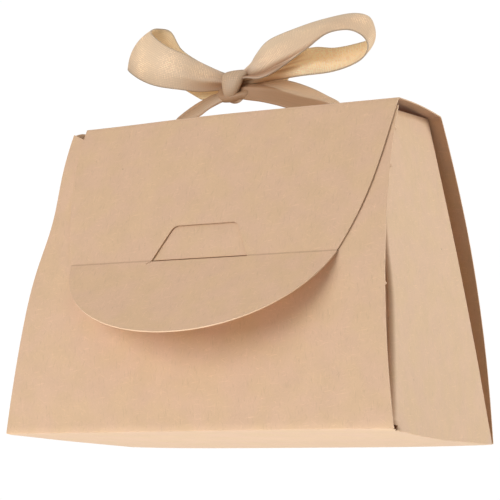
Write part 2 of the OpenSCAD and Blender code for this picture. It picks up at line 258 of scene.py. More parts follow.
class Graph:
    """The node tree of a material or world, built one node at a time."""

    def __init__(self, owner):
        owner.use_nodes = True
        self.tree = owner.node_tree
        self.tree.nodes.clear()

    def node(self, kind, inputs=(), **settings):
        """A node and its inputs, by place or name: each a plain value or the output that feeds it."""
        node = self.tree.nodes.new("ShaderNode" + kind)
        for key, value in settings.items():
            setattr(node, key, value)
        for key, value in (inputs if isinstance(inputs, dict) else dict(enumerate(inputs))).items():
            if isinstance(value, bpy.types.NodeSocket):
                self.tree.links.new(value, node.inputs[key])
            else:
                node.inputs[key].default_value = value
        return node

    def get(self, kind, inputs=(), **settings):
        """The first output of a new node."""
        return self.node(kind, inputs, **settings).outputs[0]

    def calc(self, operation, *values):
        return self.get("Math", values, operation=operation)

    def add(self, a, b):
        return self.calc("ADD", a, b)

    def times(self, a, *more):
        """A number multiplied by others."""
        for b in more:
            a = self.calc("MULTIPLY", a, b)
        return a

    def remap(self, value, low, high, start, end):
        """Takes value from low..high to start..end and holds it there."""
        return self.get("MapRange", (value, low, high, start, end))

    def mix(self, share, first, second):
        """A mix of two plain colours."""
        inputs = {0: share, 6: (*first, 1), 7: (*second, 1)}
        return self.node("Mix", inputs, data_type="RGBA").outputs[2]

    def lit(self, colour, light):
        """A colour scaled by a number."""
        return self.get("VectorMath", {0: colour, "Scale": light}, operation="SCALE")

    def noise(self, place, scale, detail=2.0, turn=0.0, shift=0.0):
        """Noise over a place in mm; scale is waves per mm along the turned axes."""
        around = {"Vector": place, "Rotation": (0, 0, turn), "Scale": (1 / scale[0], 1 / scale[1], 1),
                  "Location": (shift, shift * 0.43, 0)}
        vector = self.get("Mapping", around, vector_type="TEXTURE")
        return self.node("TexNoise", {"Vector": vector, "Scale": 1.0, "Detail": detail}).outputs["Fac"]

    def bump(self, height, strength, distance):
        return self.get("Bump", {"Height": height, "Strength": strength, "Distance": distance})


# Camera, light and floor

def make_camera():
    data = bpy.data.cameras.new("camera")
    data.sensor_width = SENSOR
    data.lens = FOCAL_PX * SENSOR / PHOTO_PX
    data.clip_start, data.clip_end = 0.01, 50
    cam = new_object("camera", data)
    place = Matrix.Translation(Vector(CAM_AT) * MM)
    for degrees, axis in ((CAM_AZIMUTH, "Z"), (90 + CAM_ELEVATION, "X"), (CAM_ROLL, "Z")):
        place = place @ Matrix.Rotation(math.radians(degrees), 4, axis)
    cam.matrix_world = place
    bpy.context.scene.camera = cam


def make_world():
    """Cameras see a white surround; the pieces get less light from it."""
    scene = bpy.context.scene
    scene.view_settings.view_transform = "Standard"
    scene.view_settings.look = "None"
    scene.world = bpy.data.worlds.new("studio")
    g = Graph(scene.world)
    fill, white = (g.get("Background", ((*WHITE, 1), strength)) for strength in (FILL, SURROUND))
    seen = g.node("LightPath").outputs["Is Camera Ray"]
    g.node("OutputWorld", (g.get("MixShader", (seen, fill, white)),))


def new_lamp(name, kind, colour, energy):
    data = bpy.data.lights.new(name, kind)
    data.color = colour
    data.energy = energy
    lamp = new_object(name, data)
    lamp.visible_camera = False
    return lamp


def make_lights():
    """The soft boxes, large squares that give a white card facing one its share, and the glow inside."""
    for name, way, share, colour in SOFT_BOXES:
        lamp = new_lamp(name, "AREA", colour, share * (math.pi * BOX_DISTANCE) ** 2)
        lamp.data.shape = "SQUARE"
        lamp.data.size = BOX_SIZE
        lamp.location = Vector(unit(way)) * BOX_DISTANCE + Vector((0, 0, BOX_H * MM / 2))
        lamp.rotation_euler = Vector(way).to_track_quat("Z", "Y").to_euler()
    lamp = new_lamp("inside_glow", "POINT", GLOW_COLOUR, GLOW)
    lamp.data.shadow_soft_size = GLOW_R
    lamp.location = GLOW_AT


def make_floor():
    """A pale floor with one side: it shows from above and lets the photograph's low camera through."""
    mesh = bpy.data.meshes.new("floor")
    corners = ((-1, -1), (1, -1), (1, 1), (-1, 1))
    mesh.from_pydata([(x * FLOOR_HALF, y * FLOOR_HALF, -FLOOR_DROP) for x, y in corners], [], [(0, 1, 2, 3)])
    floor = new_object("floor", mesh)
    for flag in ("visible_diffuse", "visible_glossy", "visible_transmission", "visible_shadow"):
        setattr(floor, flag, False)
    mat = bpy.data.materials.new("floor_paper")
    g = Graph(mat)
    where = g.node("NewGeometry").outputs
    distance = g.node("VectorMath", (where["Position"],), operation="LENGTH").outputs["Value"]
    fade = g.get("MapRange", (distance, *FLOOR_FADE), interpolation_type="SMOOTHSTEP")
    share = g.calc("MAXIMUM", fade, where["Backfacing"])
    paper = g.get("BsdfDiffuse", (FLOOR_COLOUR,))
    mixed = g.get("MixShader", (share, paper, g.get("BsdfTransparent")))
    g.node("OutputMaterial", (mixed,))
    mesh.materials.append(mat)


# The section of the folded blank, as [y, z] points of its outer face with the outside on their left

def wall_way(foot, head, bow, u):
    return unit(head - foot + 4 * bow * (1 - 2 * u) * left_of(unit(head - foot)))


def wall_point(foot, head, bow, u, depth=0.0):
    """A point at share u of a bowed wall's height, at a depth behind its outer face."""
    return (foot + u * (head - foot) + bow * arch(u) * left_of(unit(head - foot))
            - depth * left_of(wall_way(foot, head, bow, u)))


FLAP_FOOT = np.array([-(BASE_D / 2 + SKIN), 0.0])
FLAP_HEAD = np.array(LID_FRONT)
BACK_FOOT = np.array([-BASE_D / 2, 0.0])
BACK_HEAD = np.array([-LID_BACK[0], BOX_H])
FRONT_WALL = (FLAP_FOOT, FLAP_HEAD, FRONT_BOW)


def score_share():
    """The share of the flap line's height at which the score lies."""
    low, high = 0.0, 1.0
    for _ in range(60):
        mid = (low + high) / 2
        if wall_point(*FRONT_WALL, mid)[1] < SCORE[1]:
            low = mid
        else:
            high = mid
    return low


SCORE_SHARE = score_share()
SCORE_WAY = wall_way(*FRONT_WALL, SCORE_SHARE)


def turned(v, degrees):
    a = math.radians(degrees)
    return np.array([v[0] * math.cos(a) - v[1] * math.sin(a), v[0] * math.sin(a) + v[1] * math.cos(a)])


def walls():
    """The stretches between the blank's creases, from the flap's tip round to the front panel's top."""
    rise = line(0, 1, WALL_STEPS)
    score = np.array(SCORE)
    tip = line(score - TIP_LEN * turned(SCORE_WAY, -TIP_ANGLE), score)
    flap = [wall_point(*FRONT_WALL, u) for u in line(SCORE_SHARE, 1, WALL_STEPS)]
    lid = [np.array([LID_FRONT[0] + u * (LID_BACK[0] - LID_FRONT[0]), BOX_H + LID_DOME * arch(u)])
           for u in line(0, 1)]
    back = [wall_point(BACK_FOOT, BACK_HEAD, BACK_BOW, 1 - u) * [-1, 1] for u in rise]
    base = line(np.array([BASE_D / 2, 0.0]), np.array([-BASE_D / 2, 0.0]))
    front = [wall_point(*FRONT_WALL, u, SKIN) for u in rise]
    return [tip, flap, lid, back, base, front]


def lengths(points):
    """How far along its line each point lies."""
    return np.concatenate([[0], np.cumsum(np.linalg.norm(np.diff(points, axis=0), axis=1))])


def between(s, places, points):
    """Points at lengths s of a line that is given by points at some places."""
    return np.column_stack([np.interp(s, places, points[:, k]) for k in (0, 1)])


class Section:
    """A rounded path through the walls, measured along its length."""

    def __init__(self, stretches, rounds):
        points, marks = [], []
        t = np.linspace(0, 1, CREASE_POINTS)[1:-1, None]
        for stretch, start, end in zip(stretches, [0, *rounds], [*rounds, 0]):
            p = np.array(stretch)
            s = lengths(p)
            q = between(np.linspace(start, s[-1] - end, WALL_POINTS), s, p)
            if points:
                points += list((1 - t) ** 2 * points[-1] + 2 * t * (1 - t) * p[0] + t ** 2 * q[0])
            marks.append((len(points), len(points) + len(q) - 1))
            points += list(q)
        self.p = np.array(points)
        self.s = lengths(self.p)
        self.n = np.array([left_of(unit(w)) for w in np.gradient(self.p, self.s, axis=0)])
        self.spans = [(self.s[a], self.s[b]) for a, b in marks]

    def at(self, s, depth=0.0):
        """Points at lengths along the section and a depth behind its outer face."""
        p, n = between(s, self.s, self.p), between(s, self.s, self.n)
        return p - n / np.linalg.norm(n, axis=1)[:, None] * depth

    def height(self, s):
        return self.at([s])[0, 1]

    def s_of_z(self, span, z):
        """The length at which a stretch reaches height z."""
        s = np.linspace(*span, 400)
        heights = self.at(s)[:, 1]
        order = np.argsort(heights)
        return float(np.interp(z, heights[order], s[order]))


STRIP = Section(walls(), [SCORE_CREASE, CREASE, CREASE, CREASE, CREASE])
TIP, FLAP, LID, BACK, BASE, FRONT = STRIP.spans


# Card pieces

def cut_sheet(loops, cuts_u, cuts_v):
    """A flat sheet inside closed outlines, cut along lines of equal u and v so that it can bend."""
    bm = bmesh.new()
    for loop in loops:
        verts = [bm.verts.new((u, v, 0)) for u, v in loop]
        for a, b in zip(verts, verts[1:] + verts[:1]):
            bm.edges.new((a, b))
    bmesh.ops.triangle_fill(bm, use_beauty=True, use_dissolve=False, edges=bm.edges[:])
    for places, axis in ((cuts_u, Vector((1, 0, 0))), (cuts_v, Vector((0, 1, 0)))):
        for c in places:
            geom = bm.verts[:] + bm.edges[:] + bm.faces[:]
            bmesh.ops.bisect_plane(bm, geom=geom, dist=1e-4, plane_co=axis * c, plane_no=axis)
    for f in bm.faces:
        if f.normal.z < 0:
            f.normal_flip()
    return bm


def card_piece(name, loops, shape, materials, step_u=6.0, step_v=2.0):
    """A sheet of card cut to flat outlines in mm and bent by shape(u, v, depth), with cut edges."""
    cuts = []
    for step, places in zip((step_u, step_v), np.array([p for loop in loops for p in loop]).T):
        cuts.append(np.arange(math.ceil(places.min() / step) * step, places.max(), step))
    bm = cut_sheet(loops, *cuts)
    bm.verts.ensure_lookup_table()
    flat = np.array([v.co for v in bm.verts])[:, :2]
    n = len(flat)
    faces = [[v.index for v in f.verts] for f in bm.faces]
    inside = [[i + n for i in reversed(f)] for f in faces]
    cut_faces, border = [], set()
    for e in bm.edges:
        if len(e.link_faces) == 1:
            a, b = (v.index for v in e.verts)
            border |= {tuple(sorted((a, b))), tuple(sorted((a + n, b + n)))}
            ids = [v.index for v in e.link_faces[0].verts]
            if ids[(ids.index(a) + 1) % len(ids)] != b:
                a, b = b, a
            cut_faces.append([b, a, a + n, b + n])
    bm.free()
    points = np.vstack([shape(*flat.T, depth) for depth in (0.0, BOARD)])
    place = np.column_stack([np.vstack([flat, flat]), np.repeat([0, INNER_MARK], n)])
    index = [0] * 2 * len(faces) + [1] * len(cut_faces)
    o = mesh_object(name, points, faces + inside + cut_faces, index, materials, flat=place)
    sharp = [tuple(sorted(e.vertices)) in border for e in o.data.edges]
    o.data.attributes.new("sharp_edge", "BOOLEAN", "EDGE").data.foreach_set("value", sharp)
    o.data.update()
    return o


def round_rims(o):
    """The die crushes the rims of a cut edge: a narrow bevel in the cut edge's material."""
    bevel = o.modifiers.new("crushed_rim", "BEVEL")
    bevel.width = RIM * MM
    bevel.segments = 1
    bevel.limit_method = "ANGLE"
    bevel.angle_limit = math.radians(60)
    bevel.material = 1


def sag(x, y, z):
    """How far the base hangs below a perfect box's: most in the middle and at the back right."""
    k = np.clip(x / BASE_W + 0.5, 0, 1)
    corner = CORNER_LOW[0] + (CORNER_LOW[1] - CORNER_LOW[0]) * k
    belly = BASE_SAG * (1 - np.clip(np.abs(x) / (BASE_W / 2), 0, 1) ** 4)
    back = y + BASE_D / 2
    right = RIGHT_SAG * k ** 8 * np.sin(math.pi * np.sqrt(np.clip(back / BASE_D, 0, 1)))
    return ((corner + belly) * smooth(back / SAG_RUN) + right) * (1 - smooth(z / SAG_H))


def back_out(z):
    """How far the back panel's sides have spread to the back below the lid."""
    return BACK_OUT * ramp(z, *BACK_OUT_Z)


def strip_shape(x, s, depth):
    """The main strip of the blank: x across it, s along its section, settled as the photograph shows."""
    p = STRIP.at(s, depth)
    (flap_a, flap_b), (lid_a, lid_b) = FLAP, LID
    up_flap = np.clip((s - flap_a) / (flap_b - flap_a), 0, 1)
    held = up_flap * np.clip((lid_b - s) / (lid_b - lid_a), 0, 1)
    near = np.minimum(s, flap_b - 0.5)
    ahead = STRIP.at(near + 0.3) - STRIP.at(near)
    ahead /= np.linalg.norm(ahead, axis=1)[:, None]
    droop = (LID_SAG + LID_DROOP * smooth(-x / (LID_W / 2))) * held
    p = p - ahead * droop[:, None]
    p[:, 0] -= TIP_CURL * smooth(x / CURL_W) * smooth((flap_a - s) / CURL_H) * smooth((s + 2) / CURL_H)
    x = x + FLAP_SHIFT * held
    front = s > FRONT[0]
    dent = EDGE_DENT * hill(p[:, 1], DENT_Z, DENT_REACH) * smooth((DENT_X - x) / DENT_W) * front
    p[:, 0] += dent
    x = x + EDGE_PULL * dent
    x = x - SCORE_TRIM * smooth(x / TRIM_W) * (1 - up_flap)
    back = (s > lid_b) * (s < BASE[1] + CREASE)
    deep = smooth((p[:, 0] + BASE_D / 2) / BASE_D) * back
    z = p[:, 1] - sag(x, p[:, 0], p[:, 1]) * (s > lid_b)
    y = p[:, 0] + back_out(p[:, 1]) * deep
    return np.column_stack([x, y, z])


def both_sides(right):
    """A closed outline from its right half, given from the bottom up as (half width, place)."""
    return [(x, s) for x, s in right] + [(-x, s) for x, s in reversed(right) if x > 1e-9]


def circle(x, y, d, n=28):
    return [(x + d / 2 * math.cos(a), y + d / 2 * math.sin(a)) for a in line(0, TURN, n)[:-1]]


def wall_half_w(z):
    u = z / BOX_H
    return (BASE_W + (PANEL_TOP_W - BASE_W) * u) / 2 - WAIST * arch(u)


def span_levels(a, b, step=2.5):
    return line(a, b, max(2, round(abs(b - a) / step)))


def with_nicks(right):
    """The small nubs left where the blank was broken out of its sheet, added to one side of an outline."""
    out = []
    for a, b in zip(right, right[1:]):
        out.append(a)
        for z in NICKS:
            s = STRIP.s_of_z(FRONT, z)
            if a[1] < s - NICK_H and s + NICK_H < b[1]:
                half = wall_half_w(z)
                nub = ((0, -1), (NICK_OUT, -0.4), (NICK_OUT, 0.4), (0, 1))
                out += [(half + dx, s + NICK_H * k) for dx, k in nub]
    return out + [right[-1]]


def front_outline():
    """The front panel: cut sides that draw in, top corners, and a wide finger arc between them."""
    top = BOX_H - CORNER_DROP
    s_top = STRIP.s_of_z(FRONT, top)
    right = [(BASE_W / 2, FRONT[0] - TUCK)]
    right += [(wall_half_w(min(STRIP.height(s), top)), s) for s in span_levels(FRONT[0], s_top, 3.1)]
    half = right[-1][0]
    left = [(-x, s) for x, s in reversed(right)]
    radius = (half ** 2 + ARC_DROP ** 2) / (2 * ARC_DROP)
    across = [half * (1 - i / 24) for i in range(1, 48)]
    arc = [(x, s_top - ARC_DROP + radius - math.sqrt(radius ** 2 - x ** 2)) for x in across]
    return with_nicks(right) + arc + left


def slit_outline():
    """The slit in the front panel that the tongue is tucked into, just below the score."""
    half = TONGUE_W / 2 + SLIT_END_GAP
    low = STRIP.s_of_z(FRONT, SCORE[1] - SLIT_DROP)
    high = STRIP.s_of_z(FRONT, SCORE[1] + LIP_H)
    return [(x + WINDOW_SHIFT, s) for x, s in ((-half, high), (half, high), (half, low), (-half, low))]


def back_outline():
    a, b = BACK
    right = [(wall_half_w(STRIP.height(s)), s) for s in span_levels(a, b)]
    return both_sides(right + [(BASE_W / 2, b + TUCK)])


def base_outline():
    a, b = BASE
    half = BASE_W / 2 - SIDE_CREASE * 1.25
    return both_sides([(half, a - TUCK), (half, b + TUCK)])


def lid_outlines():
    a, b = LID
    mid = (a + b) / 2
    holes = [circle(side * HOLE_SPAN / 2, mid, HOLE_D)[::-1] for side in (-1, 1)]
    return [both_sides([(FLAP_TOP_W / 2, a), (LID_W / 2, b)])] + holes


def flap_half(s, power):
    a, b = FLAP
    share = (s - a) / (b - a)
    return (FLAP_SCORE_W + (FLAP_TOP_W - FLAP_SCORE_W) * (1 - (1 - share) ** power)) / 2


def tongue_half(grow):
    """Half of the lock tongue's outline above the score, grown on every side but its root."""
    run = unit([(TONGUE_W - TONGUE_END_W) / 2, TONGUE_H])
    nx, nz = run[1], run[0]
    cx = TONGUE_END_W / 2 - TONGUE_R * (1 - nz) / nx
    start = math.atan2(nz, nx)
    cy, r = TONGUE_H - TONGUE_R, TONGUE_R + grow
    rounded = [(cx + r * math.cos(a), cy + r * math.sin(a)) for a in line(start, math.pi / 2, 6)]
    return [(TONGUE_W / 2 + grow / nx, 0)] + rounded


def flap_outline():
    """The flap above the score line, with the window that the tongue leaves open at its foot."""
    a, b = FLAP
    score = a - SCORE_CREASE
    window = [(x, score + h) for x, h in reversed(tongue_half(DIE_GAP))]
    window[-1] = (window[-1][0], a)
    levels = span_levels(a, b)
    right = [(x + WINDOW_SHIFT, s) for x, s in window] + [(flap_half(s, RIGHT_POWER), s) for s in levels]
    left = ([(-flap_half(s, SIDE_POWER), s) for s in reversed(levels)]
            + [(WINDOW_SHIFT - x, s) for x, s in reversed(window)])
    return right + left


def tip_half_outline():
    """Half of the tip's rounded outline, from its lowest point up to the score, as (x, height above it)."""
    full = TIP_RISE + TIP_LEN
    start = math.asin((TIP_RISE / full) ** (TIP_POWER / 2))
    angles = reversed(line(start, math.pi / 2, TIP_STEPS))
    return [(TIP_W / 2 * math.cos(a), TIP_RISE - full * math.sin(a) ** (2 / TIP_POWER)) for a in angles]


def stop_cut(side, top):
    """The short cut that runs on past the score from one root of the tongue, as outline points."""
    a = math.radians(STOP_CUT_TURN)
    x, half = TONGUE_W / 2 + DIE_GAP, STOP_CUT_W / 2
    end = (x + STOP_CUT * math.cos(a), top + STOP_CUT * math.sin(a))
    nx, ny = -math.sin(a) * half, math.cos(a) * half
    cut = [(x + 2.4 * half, top), (end[0] + nx, end[1] + ny), (end[0] - nx, end[1] - ny), (x - half, top)]
    return [(side * u + WINDOW_SHIFT, v) for u, v in cut]


def tip_outline():
    b = TIP[1]
    score = b + SCORE_CREASE
    rim = [(x, min(score + d, b)) for x, d in tip_half_outline()]
    right = rim[:-1] + [(rim[-1][0], b)]
    left = stop_cut(-1, b)[::-1] + [(-rim[-1][0], b)] + [(-x, s) for x, s in reversed(rim[1:-1])]
    return right + left


def tongue_shape(x, h, depth):
    """The tongue turns in sharply at the score, then runs on in the tip's plane behind the front panel."""
    p, q = STRIP.at([TIP[1] - 1, TIP[1]])
    way = unit(q - p)
    into = turned(way, TONGUE_TURN)
    near = np.minimum(h, TONGUE_BEND)[:, None]
    at = q + near * into + (h[:, None] - near) * way
    return np.column_stack([x + WINDOW_SHIFT, at - depth * left_of(way)])


# Side panels and tabs

SIDE_LEAN = math.atan2((BASE_W - SIDE_TOP_W) / 2, BOX_H)
FOLD_R = 0.5
SIDE_CREASE = 0.35
FOLD_LOW = 2.0
FOLD_BACK = 0.7
FOLD_HIGH = 0.9
NOTCH = 1.5
SIDE_SWELL = 0.5
TAB_GAP = 0.05


def chord_y(foot, head, z, depth):
    run = head - foot
    return foot[0] + run[0] * z / run[1] + depth * np.linalg.norm(run) / run[1]


def grid_card(name, outer, inner, flat, keep, materials):
    """A bent card from grids of outer and inner points; keep says which cells of the grid are card."""
    rows, columns = keep.shape
    m = columns + 1
    n = (rows + 1) * m
    cells = {(i, j) for i in range(rows) for j in range(columns) if keep[i, j]}
    faces, index = [], []
    for i, j in sorted(cells):
        k = i * m + j
        ring = [k, k + 1, k + m + 1, k + m]
        faces += [ring, [n + q for q in reversed(ring)]]
        index += [0, 0]
        for (di, dj), a, b in zip(((-1, 0), (0, 1), (1, 0), (0, -1)), ring, ring[1:] + ring[:1]):
            if (i + di, j + dj) not in cells:
                faces.append([b, a, a + n, b + n])
                index.append(1)
    used = sorted({q for f in faces for q in f})
    new = {q: i for i, q in enumerate(used)}
    points = np.vstack([outer.reshape(-1, 3), inner.reshape(-1, 3)])[used]
    place = np.vstack([flat.reshape(-1, 3), flat.reshape(-1, 3) + [0, 0, INNER_MARK]])[used]
    faces = [[new[q] for q in f] for f in faces]
    return mesh_object(name, points, faces, index, materials, 1, flat=place)


def fold_r(z, low=FOLD_LOW, high=FOLD_HIGH):
    """The radius of a side panel's front fold, which is rounder near the base."""
    return low + (high - low) * smooth(z / BOX_H)


def tab_push(z):
    """How far the front fold of a side panel follows the front panel's bow toward the front, above, and
    stands back from it, below."""
    u = z / BOX_H
    follow = TAB_PUSH * FRONT_BOW * arch(u) * ramp(u, 0.38, 0.66)
    return follow - FOLD_BACK * ramp(u, 0, 0.05) * ramp(u, 0.6, 0.3)


def splay(y, z):
    """The left side panel's top front corner stands out to the front panel's cut edge."""
    return LEFT_SPLAY * smooth(z / BOX_H) ** 4.5 * ramp(y, 18, -14)


def side_card(name, hand, materials):
    """A side panel: a leaning sheet, rounded at the crease below it and at the folds to its tabs."""
    tan, cos, sin = math.tan(SIDE_LEAN), math.cos(SIDE_LEAN), math.sin(SIDE_LEAN)
    start = SIDE_CREASE * (1 + sin)
    centre_x = BASE_W / 2 - start * tan - SIDE_CREASE * cos
    top = BOX_H - BOARD - SIDE_BACK_GAP
    arc = np.linspace(-math.pi / 2, SIDE_LEAN, 7)[:-1]
    shares = np.concatenate([0 * arc, [0, (NOTCH - start) / (top - start)], np.linspace(0.03, 1, 44)])
    turns = np.linspace(math.pi / 2, 0, 8)
    flats = np.linspace(0, 1, 19)[1:-1]
    way_x = np.concatenate([np.cos(turns), 0 * flats + 1, np.cos(turns[::-1])])
    way_y = np.concatenate([-np.sin(turns), 0 * flats, np.sin(turns[::-1])])
    outer, inner, flat = [], [], []
    for row, share in enumerate(shares):
        z0 = start + share * (top - start)
        y_front = chord_y(FLAP_FOOT, FLAP_HEAD, z0, SKIN + BOARD + TAB_GAP) - tab_push(z0)
        y_back = -chord_y(BACK_FOOT, BACK_HEAD, z0, BOARD + TAB_GAP)
        radius, first = fold_r(z0), y_front + fold_r(z0)
        y = np.concatenate([y_front + radius * (1 - np.sin(turns)), first + flats * (y_back - FOLD_R - first),
                            y_back - FOLD_R * (1 - np.sin(turns[::-1]))])
        across = (y - y_front) / (y_back - y_front)
        if row < len(arc):
            phi = arc[row]
            x, z = (at + SIDE_CREASE * k + 0 * y for at, k in
                    ((centre_x, math.cos(phi)), (SIDE_CREASE, math.sin(phi))))
        else:
            phi = SIDE_LEAN
            z = z0 - share * (SIDE_FRONT_GAP - SIDE_BACK_GAP) * (1 - across)
            if hand < 0:
                z += LEFT_RISE * share * ramp(y, -15.5, -9.5) * ramp(y, 6, -2)
            x = BASE_W / 2 - z * tan
        x += SIDE_SWELL * math.sin(math.pi * share) * across
        x -= np.where(way_y < 0, radius, FOLD_R) * (1 - way_x)
        if hand < 0:
            x += splay(y, z)
        z = z - sag(hand * x, y, z)
        y = y + back_out(z) * across
        p = np.column_stack([x, y, z])
        normal = np.column_stack([math.cos(phi) * way_x, way_y, math.sin(phi) * way_x])
        outer.append(p * [hand, 1, 1])
        inner.append((p - BOARD * normal) * [hand, 1, 1])
        flat.append(np.column_stack([y + SIDE_MARK * hand, 0 * y + z0 + SIDE_CREASE * phi, 0 * y]))
    outer, inner, flat = np.array(outer), np.array(inner), np.array(flat)
    keep = np.ones((len(outer) - 1, len(way_x) - 1), bool)
    folded = len(turns) - 1
    keep[:len(arc) + 1, :folded] = False
    keep[:len(arc) + 1, -folded:] = False
    if hand < 0:
        outer, inner, flat, keep = (grid[:, ::-1] for grid in (outer, inner, flat, keep))
    return grid_card(name, outer, inner, flat, keep, materials)


def tab_shape(foot, head, depth0, hand, mirror):
    """Lays a tab behind its wall; mirror is 1 for a front tab and -1 for a back one."""
    run = unit(head - foot)

    def shape(x, v, depth):
        p = foot + v[:, None] * run - left_of(run) * (depth0 + BOARD + TAB_GAP + depth)
        y, z = p[:, 0] * mirror, p[:, 1]
        if mirror > 0:
            y = y - tab_push(z)
            x = x + (splay(y, z) if hand < 0 else 0)
        else:
            y = y + back_out(z)
        return np.column_stack([hand * x, y, z - sag(hand * x, y, z)])
    return shape


def tab_outline(foot, head, *fold):
    """A tab from its root at the fold, whose radius is given below and above, to its slanted free edge."""
    rise = unit(head - foot)[1]
    slope = (BASE_W - SIDE_TOP_W) / 2 / BOX_H
    levels = line(BOARD + 0.3, BOX_H - CORNER_DROP - 0.3, 12)
    root = [(BASE_W / 2 - fold_r(z, *fold) - slope * z, z / rise) for z in levels]
    a, b = root[0], root[-1]
    return root + [(b[0] - TAB_W, b[1] - TAB_SLANT), (a[0] - TAB_W, a[1] + TAB_SLANT)]


# Materials

# Fibres of the kraft card: direction, waves per mm along and across, how much lighter or darker, threshold
FIBRES = [
    (0.15, (0.26, 2.2), 0.085, 0.62),
    (1.75, (0.30, 2.4), -0.09, 0.62),
    (2.60, (0.36, 2.6), 0.075, 0.62),
    (1.20, (0.30, 2.4), -0.075, 0.63),
    (0.75, (0.50, 3.0), -0.055, 0.62),
    (1.55, (0.28, 2.3), 0.08, 0.63),
]
KRAFT_BACK = (0.94, 0.86, 0.77)
KRAFT_YELLOW = (0.995, 1.002, 0.965)
KRAFT_PINK = (1.006, 0.996, 1.030)


def scaled(colour, share):
    return tuple(c * k for c, k in zip(colour, share))


def kraft_material(name, colour):
    """Brown kraft card: light and dark fibres, soft mottling, a few dark specks, and a redder inner face."""
    mat = bpy.data.materials.new(name)
    g = Graph(mat)
    place = g.node("Attribute", attribute_name="flat").outputs["Vector"]
    light, height = 1.0, 0.0
    for i, (turn, scale, strength, low) in enumerate(FIBRES):
        fibre = g.remap(g.noise(place, scale, 2.0, turn, 7.3 * i), low, low + 0.08, 0, 1)
        light = g.add(g.times(fibre, strength), light)
        height = g.add(fibre, height)
    cloud = g.remap(g.noise(place, (0.16, 0.16), 4.0, 0.0, 31.0), 0.35, 0.65, 0.978, 1.022)
    grain = g.remap(g.noise(place, (1.3, 1.3), 3.0, 0.4, 55.0), 0.3, 0.7, 0.988, 1.012)
    speck = g.node("TexVoronoi", {"Vector": place, "Scale": 0.13}).outputs
    picked = g.calc("GREATER_THAN", speck["Color"], 0.72)
    dot = g.times(picked, g.remap(speck["Distance"], 0.02, 0.04, 0.5, 0.0))
    light = g.times(light, cloud, grain, g.calc("SUBTRACT", 1.0, dot))
    hue = g.remap(g.noise(place, (0.11, 0.11), 3.0, 0.0, 83.0), 0.4, 0.6, 0, 1)
    layer = g.node("SeparateXYZ", (place,)).outputs["Z"]
    base = g.mix(g.remap(layer, 0.0, INNER_MARK, 0, 1), colour, scaled(colour, KRAFT_BACK))
    tinted = g.get("VectorMath", (base, g.mix(hue, KRAFT_YELLOW, KRAFT_PINK)), operation="MULTIPLY")
    tooth = g.noise(place, (2.2, 2.2), 4.0, 0.0, 12.0)
    rough = g.add(g.times(height, 0.7), g.times(tooth, 0.6))
    shader = g.get("BsdfPrincipled", {
        "Base Color": g.lit(tinted, light), "Roughness": 0.62, "Specular IOR Level": 0.5,
        "Sheen Weight": 0.25, "Sheen Roughness": 0.4, "Normal": g.bump(rough, 0.3, 0.00006)})
    g.node("OutputMaterial", (shader,))
    return mat


WEAVE = 1.0
SELVAGE = 0.22
SELVAGE_TONE = 0.74
SATIN_SHADE = (0.70, 0.53, 0.40)


def ribbon_material(name, colour, through_it, share, painted_sparkle):
    """Woven satin: a fine diagonal lattice of threads, lighter in patches where it paints the threads' glints
    as highlights, a thin firm selvage at each edge, painted shade and painted highlights that each piece sets
    by a per-point attribute, and light through the cloth."""
    mat = bpy.data.materials.new(name)
    g = Graph(mat)
    place = g.node("Attribute", attribute_name="weave").outputs["Vector"]
    tone = g.node("Attribute", attribute_name="tone").outputs["Fac"]
    split = g.node("SeparateXYZ", (place,)).outputs
    x, y = split["X"], split["Y"]
    uneven = g.remap(g.noise(place, (0.7, 0.7), 1.0, 0.0, 40.0), 0.3, 0.7, -0.2, 0.2)
    ways = (g.add(x, g.add(y, uneven)), g.calc("SUBTRACT", x, y))
    knots = g.times(*(g.calc("SINE", g.times(way, TURN / WEAVE)) for way in ways))
    dots = g.remap(knots, 0.0, 0.7, 0, 1)
    gaps = g.remap(knots, -0.8, 0.0, 0.09, 0.0)
    # Painted highlights: the lattice is lightened in noise patches, fully where the piece's per-point
    # attribute rises above 1, and less where shade is painted
    highlight_patch = g.remap(g.noise(place, (0.22, 0.13), 2.0, 0.5, 3.0), 0.45, 0.65, 0.12, 0.6)
    highlight_patch = g.calc("MAXIMUM", highlight_patch, g.remap(tone, 1.0, 1.25, 0, 1))
    smooth_share = g.remap(tone, 0.3, 0.95, 0.2, 1.0)
    speck = g.remap(g.noise(place, (0.9, 0.9), 1.0, 0.3, 17.0), 0.38, 0.58, 0.2, 1.15)
    painted_shine = g.times(dots, g.times(highlight_patch, speck, smooth_share), painted_sparkle)
    light = g.add(g.calc("SUBTRACT", painted_shine, g.times(gaps, speck, smooth_share)), 1.0)
    threads = g.noise(place, (2.6, 0.12), 2.0, 0.0, 9.0)
    inner, outer = SELVAGE * 1.4, SELVAGE * 0.6
    near = g.remap(x, outer, inner, SELVAGE_TONE, 1.0)
    far = g.remap(x, RIBBON_W - inner, RIBBON_W - outer, 1.0, SELVAGE_TONE)
    light = g.times(light, g.remap(threads, 0.3, 0.7, 0.98, 1.02), g.times(near, far))
    # Painted shade: each colour is mixed toward its shaded copy where the piece's per-point attribute is
    # below 1
    front, behind = (g.lit(g.mix(tone, scaled(c, SATIN_SHADE), c), light) for c in (colour, through_it))
    cloth = g.get("BsdfPrincipled", {
        "Base Color": front, "Roughness": 0.42, "Specular IOR Level": 0.5, "Sheen Weight": 0.15,
        "Sheen Roughness": 0.35, "Normal": g.bump(g.add(g.times(dots, speck), threads), 0.4, 0.00005)})
    g.node("OutputMaterial", (g.get("MixShader", (share, cloth, g.get("BsdfTranslucent", (behind,)))),))
    return mat


# Ribbon pieces

UNDER_LID = node_box("ribbon_under_lid")[1][2]
UNDER_END = 5.8


